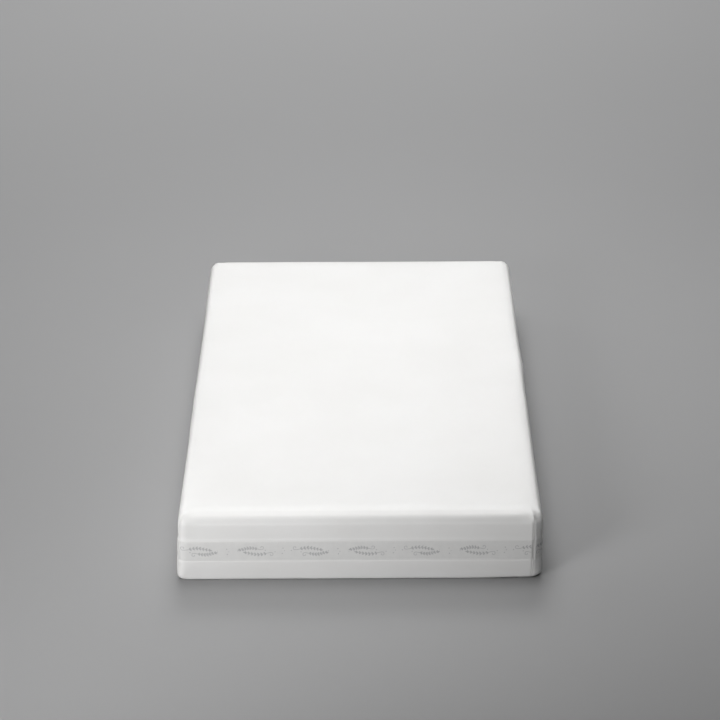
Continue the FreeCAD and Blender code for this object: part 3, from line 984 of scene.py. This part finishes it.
for name, heading in (("front_left", -135), ("front_right", -45 - SEAM_TURN[(1, -1)]),
                      ("rear_right", 45), ("rear_left", 135)):
    make_corner_seam(name, math.radians(heading))


# ---- zip ----
REAR_IN = node_box("zip_tape_upper")[1][1]  # inner face of the rear wall, where the tapes lie
TAPE_HALF = node_box("zip_tape_upper")[1][0]
TAPE_INNER, TAPE_OUTER = (corner[2] - ZIP_Z for corner in node_box("zip_tape_upper"))
TAPE_T = 0.6
COIL_HALF = ZIP_HIGH[0]
COIL_TOP = ZIP_HIGH[1]
COIL_PITCH = 1.6
FILAMENT = 0.26


def make_tape(name, side):
    x = np.linspace(TAPE_HALF, -TAPE_HALF, 240)[:: int(side)]
    share = np.array([0, 0.3, 2, 4.5, 7.5, 10.5, 11.6, 12.2, 12.7, 13]) / 13
    across = share * (TAPE_OUTER - TAPE_INNER) + TAPE_INNER
    grid_z, grid_x = np.meshgrid(across, x, indexing="ij")
    deep = -0.05 - 0.05 * (1 + np.sin(grid_x * 0.21 + grid_z)) * (grid_z > 6)
    points = np.stack([grid_x, REAR_IN + deep, ZIP_Z + side * grid_z], 2).reshape(-1, 3)
    faces = grid_faces(len(across), len(x))
    tape = new_piece("zip_tape_cloth_" + name, points, faces, "zip_tape")
    thicken(tape, TAPE_T)
    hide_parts("zip_tape_" + name)


def make_coil(name, side):
    """A continuous spiral of nylon; the two spirals' turns lie between each other."""
    turns = int(2 * COIL_HALF / COIL_PITCH) - 1
    t = np.arange(turns * 10 + 1) * 2 * math.pi / 10
    start = -COIL_HALF + 0.4 + (COIL_PITCH / 2 if side < 0 else 0)
    inner, outer = -0.35 + FILAMENT, 3.0 - FILAMENT
    middle_y = (REAR_IN + COIL_TOP) / 2
    path = np.stack([
        start + t / (2 * math.pi) * COIL_PITCH + 0.12 * np.sin(2 * t),
        middle_y + ((COIL_TOP - REAR_IN) / 2 - FILAMENT) * np.sign(np.sin(t)) * np.abs(np.sin(t)) ** 0.75,
        ZIP_Z + side * ((inner + outer) / 2 - (outer - inner) / 2 * np.cos(t)),
    ], 1)
    thread = tube(path, FILAMENT, 6, up=(1, 0, 0.001))
    x = start + COIL_PITCH * (np.arange(turns) + 0.5)
    here = np.stack([x, np.full(turns, COIL_TOP - 0.02), np.full(turns, ZIP_Z + side * 1.9)], 1)
    ahead, outward = np.tile((1.0, 0, 0), (turns, 1)), np.tile((0, 1.0, 0), (turns, 1))
    sewn = stitches(here, ahead, outward, 1.7, width=0.42, height=0.16)
    coil = new_piece("zip_coil_spiral_" + name, *joined([thread, sewn]), "zip_coil")
    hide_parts("zip_coil_" + name)


for name, side in (("upper", 1.0), ("lower", -1.0)):
    make_tape(name, side)
    make_coil(name, side)


PATCH_SEWN_IN = 1.9  # from its edge to the stitches round it
PATCH_STITCH_PITCH = 2.4


def rounded_rectangle(half_u, half_v, radius, steps=6):
    points = []
    for corner, (su, sv) in enumerate(((1, 1), (-1, 1), (-1, -1), (1, -1))):
        for a in np.linspace(0, math.pi / 2, steps):
            turn = a + corner * math.pi / 2
            points.append((su * (half_u - radius) + radius * math.cos(turn),
                           sv * (half_v - radius) + radius * math.sin(turn)))
    return np.array(points)


def make_patch(name):
    """A doubled square of cloth over the end of the zip, sewn round its edge and crosswise."""
    low, high = node_box(name)
    u0, z0 = (low[0] + high[0]) / 2, (low[2] + high[2]) / 2
    half_u, half_v, face = (high[0] - low[0]) / 2, (high[2] - low[2]) / 2, low[1]
    rings = []
    for inset, out in ((0.3, 0.02), (0, 0.3), (0.15, 0.62), (0.7, 0.8), (1.4, 0.74),
                       (PATCH_SEWN_IN, 0.6), (2.5, 0.76), (5, 0.86), (8, 0.86)):
        outline = rounded_rectangle(half_u - inset, half_v - inset, max(3 - inset, 0.8))
        rings.append(np.stack([u0 - outline[:, 0], np.full(len(outline), face + out), z0 + outline[:, 1]], 1))
    columns = len(rings[0])
    faces = grid_faces(len(rings), columns, closed=True)
    faces.append(tuple((len(rings) - 1) * columns + c for c in range(columns)))
    patch = new_piece(name + "_cloth", np.concatenate(rings), faces, "zip_patch")
    border = rounded_rectangle(half_u - PATCH_SEWN_IN, half_v - PATCH_SEWN_IN, 1.4)
    cross = np.array([(-1, -1), (1, 1)]) * (half_u - 2.6, half_v - 2.6)
    lines = [np.concatenate([border, border[:1]]), cross, cross * (1, -1)]
    rows = []
    for path in lines:
        along = lengths_along(path)
        count = int(along[-1] / PATCH_STITCH_PITCH)
        t = (np.arange(count) + 0.5) * along[-1] / count
        at = [np.stack([np.interp(t + d, along, path[:, k]) for k in (0, 1)], 1) for d in (-0.3, 0, 0.3)]
        ahead = at[2] - at[0]
        height = 0.66 if path is lines[0] else 0.9
        centre = np.stack([u0 + at[1][:, 0], np.full(count, face + height), z0 + at[1][:, 1]], 1)
        rows.append(stitches(centre, np.stack([ahead[:, 0], np.zeros(count), ahead[:, 1]], 1),
                             np.tile((0, 1.0, 0), (count, 1)), 1.9, width=0.4, height=0.18))
    new_piece(name + "_stitches", *joined(rows), "thread", slot="zip_patch")
    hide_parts(name)


for name in ("zip_patch_closed_end", "zip_patch_open_end"):
    make_patch(name)


SLIDER_LOW, SLIDER_HIGH = node_box("zip_slider")
SLIDER_X = (SLIDER_LOW[0] + SLIDER_HIGH[0]) / 2
SLIDER_HALF = (SLIDER_HIGH[0] - SLIDER_LOW[0]) / 2
PLATE_T = 1.1
PLATE_IN = COIL_TOP + 0.35


def plate(outline, low, high, bevel=0.25):
    """A flat plate with this outline of (x, z), from y low to y high, its edges rounded."""
    outline = np.asarray(outline, float)
    centre = outline.mean(0)
    rings = []
    for inset, y in ((bevel * 1.6, low), (bevel * 0.5, low + bevel * 0.3), (0, low + bevel),
                     (0, high - bevel), (bevel * 0.5, high - bevel * 0.3), (bevel * 1.6, high)):
        toward = centre - outline
        shrunk = outline + toward / np.linalg.norm(toward, axis=1)[:, None] * inset
        rings.append(np.stack([shrunk[:, 0], np.full(len(shrunk), y), shrunk[:, 1]], 1))
    count = len(outline)
    faces = grid_faces(len(rings), count, closed=True)
    faces.append(tuple(range(count))[::-1])
    faces.append(tuple((len(rings) - 1) * count + c for c in range(count)))
    return np.concatenate(rings), faces


def slider_outline(tail, nose):
    """Narrow at the tail, where the closed coils leave it, and rounded at the nose."""
    half = SLIDER_HALF
    upper = [(-half, tail - 1.2), (-half + 0.35, tail - 0.35), (-half + 1.2, tail),
             (0, (tail + nose) / 2 - 0.1),
             (half - 2.6, nose), (half - 1.2, nose - 0.4), (half - 0.35, nose - 1.5), (half, nose - 3)]
    full = upper + [(x, -z) for x, z in upper[::-1]]
    return np.array([(SLIDER_X + x, ZIP_Z + z) for x, z in full])[::-1]


def make_slider():
    half = SLIDER_HALF
    parts = [plate(slider_outline(4.3, 5.1), PLATE_IN, PLATE_IN + PLATE_T),
             plate(slider_outline(4.2, 5.0), SLIDER_LOW[1], SLIDER_LOW[1] + PLATE_T)]
    for side in (1, -1):
        rim = [(-half + 0.5, 3.35), (-half + 0.5, 4.1), (0, 4.6), (half - 2.8, 4.95),
               (half - 2.2, 4.6), (0, 3.9)]
        rim = np.array([(SLIDER_X + x, ZIP_Z + side * z) for x, z in rim])[::-side]
        parts.append(plate(rim, REAR_IN + 0.35, PLATE_IN + 0.3, bevel=0.12))
    rise, reach, turn = SLIDER_HIGH[1] - 0.55, 3.05, 1.6  # of the bridge that holds the pull
    left = [(-reach, PLATE_IN + PLATE_T - 0.3)]
    left += [(-reach + turn - turn * math.cos(a), rise - turn + turn * math.sin(a))
             for a in np.linspace(0, math.pi / 2, 6)]
    arch = np.array(left + [(-x, y) for x, y in left[::-1]])
    path = np.stack([SLIDER_X + arch[:, 0], arch[:, 1], np.full(len(arch), ZIP_Z)], 1)
    parts.append(tube(path, 0.55, 14, flatten=1.8))
    slider = new_piece("zip_slider_body", *joined(parts), "zip_metal", body="zip_slider")
    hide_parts("zip_slider")


make_slider()


def finish_cad(name, finish, bevel):
    """A CAD piece kept as it is, with its edges rounded and its finish on."""
    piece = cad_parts[name]
    piece.data.materials.clear()
    piece.data.materials.append(MATS[finish])
    weld = piece.modifiers.new("weld", "WELD")
    weld.merge_threshold = 0.005 * M
    soften_edges(piece, bevel)
    piece.data.shade_smooth()


finish_cad("zip_pull_tab", "zip_metal", 0.22)
finish_cad("zip_end_stops", "zip_stop_metal", 0.35)
finish_cad("zip_bottom_stop", "zip_coil", 0.35)


# ---- care label ----
def make_label():
    """A blank label that hangs from the ribbon's lower edge and curls a little away from the wall."""
    low, high = node_box("care_label")
    width, length = high[1] - low[1], high[2] - low[2]
    u, v = np.linspace(-width / 2, width / 2, 13), np.linspace(0, length, 15)
    grid_v, grid_u = np.meshgrid(v[::-1], u, indexing="ij")
    grid_u, grid_v = grid_u.ravel(), grid_v.ravel()
    s = SIDE_START["left"] + CORE_Y - (low[1] + high[1]) / 2 + grid_u
    hang = grid_v / length
    out = 0.95 + 3.4 * hang ** 2.2 + 0.5 * hang * np.sin(grid_u / width * 4 + 0.6)
    points = on_wall(s, high[2] + 0.4 - grid_v, out)
    faces = grid_faces(len(v), len(u))
    label = new_piece("care_label_cloth", points, faces, "label_cloth")
    thicken(label, 0.35)
    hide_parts("care_label")


make_label()


# ---- studio ----
def plain_floor():
    mesh = bpy.data.meshes.new("floor")
    mesh.from_pydata([(-9, -9, 0), (9, -9, 0), (9, 9, 0), (-9, 9, 0)], [], [(0, 1, 2, 3)])
    mesh.materials.append(MATS["floor"])
    floor = bpy.data.objects.new("floor", mesh)
    bpy.context.scene.collection.objects.link(floor)


def soft_light(name, place, aim, size, power, spread=180):
    light = bpy.data.lights.new(name, "AREA")
    light.shape = "DISK"
    light.size = size
    light.energy = power
    light.spread = math.radians(spread)
    lamp = bpy.data.objects.new(name, light)
    lamp.location = place
    lamp.rotation_euler = (Vector(aim) - Vector(place)).to_track_quat("-Z", "Y").to_euler()
    bpy.context.scene.collection.objects.link(lamp)


def studio():
    """Large soft lights high up behind the object and overhead, and weak ones at the left."""
    plain_floor()
    soft_light("high_back", (-0.1, 5, 5), (-0.1, 3, 0), 3.2, 109, 110)
    soft_light("far_back", (0, 6, 4), (0, 3, 0), 3, 40)
    soft_light("ceiling", (0, 0, 5), (0, 0, 0), 6, 81)
    soft_light("overhead", (-0.1, 0.6, 3.2), (0, 0.2, 0), 2, 7.5, 70)
    soft_light("left_back", (-2.6, 2.4, 2.2), (0, 0.3, 0.1), 1.8, 13.5)
    soft_light("low_left", (-1.3, -2.2, 0.9), (-0.2, -0.6, 0.1), 1, 4.8, 60)
    world = bpy.data.worlds.new("studio")
    world.use_nodes = True
    background = world.node_tree.nodes["Background"]
    background.inputs["Color"].default_value = (1, 1, 1, 1)
    background.inputs["Strength"].default_value = 0.005
    bpy.context.scene.world = world
    bpy.context.scene.view_settings.view_transform = "Standard"


def camera():
    """Looks at one short end from in front and above, along the mattress."""
    pitch, yaw, roll = math.radians(23.707), math.radians(-0.141), math.radians(-0.363)
    forward = Vector((math.sin(yaw) * math.cos(pitch), math.cos(yaw) * math.cos(pitch), -math.sin(pitch)))
    right = Vector((math.cos(yaw), -math.sin(yaw), 0))
    up = right.cross(forward)
    lens = bpy.data.cameras.new("camera")
    lens.lens = 138.2
    lens.sensor_width = 36
    lens.clip_end = 60
    made = bpy.data.objects.new("camera", lens)
    tilted_right = right * math.cos(roll) + up * math.sin(roll)
    tilted_up = up * math.cos(roll) - right * math.sin(roll)
    turned = Matrix((tilted_right, tilted_up, -forward)).transposed().to_4x4()
    made.matrix_world = Matrix.Translation((0.0131, -5.3453, 2.5179)) @ turned
    bpy.context.scene.collection.objects.link(made)
    bpy.context.scene.camera = made


studio()
camera()
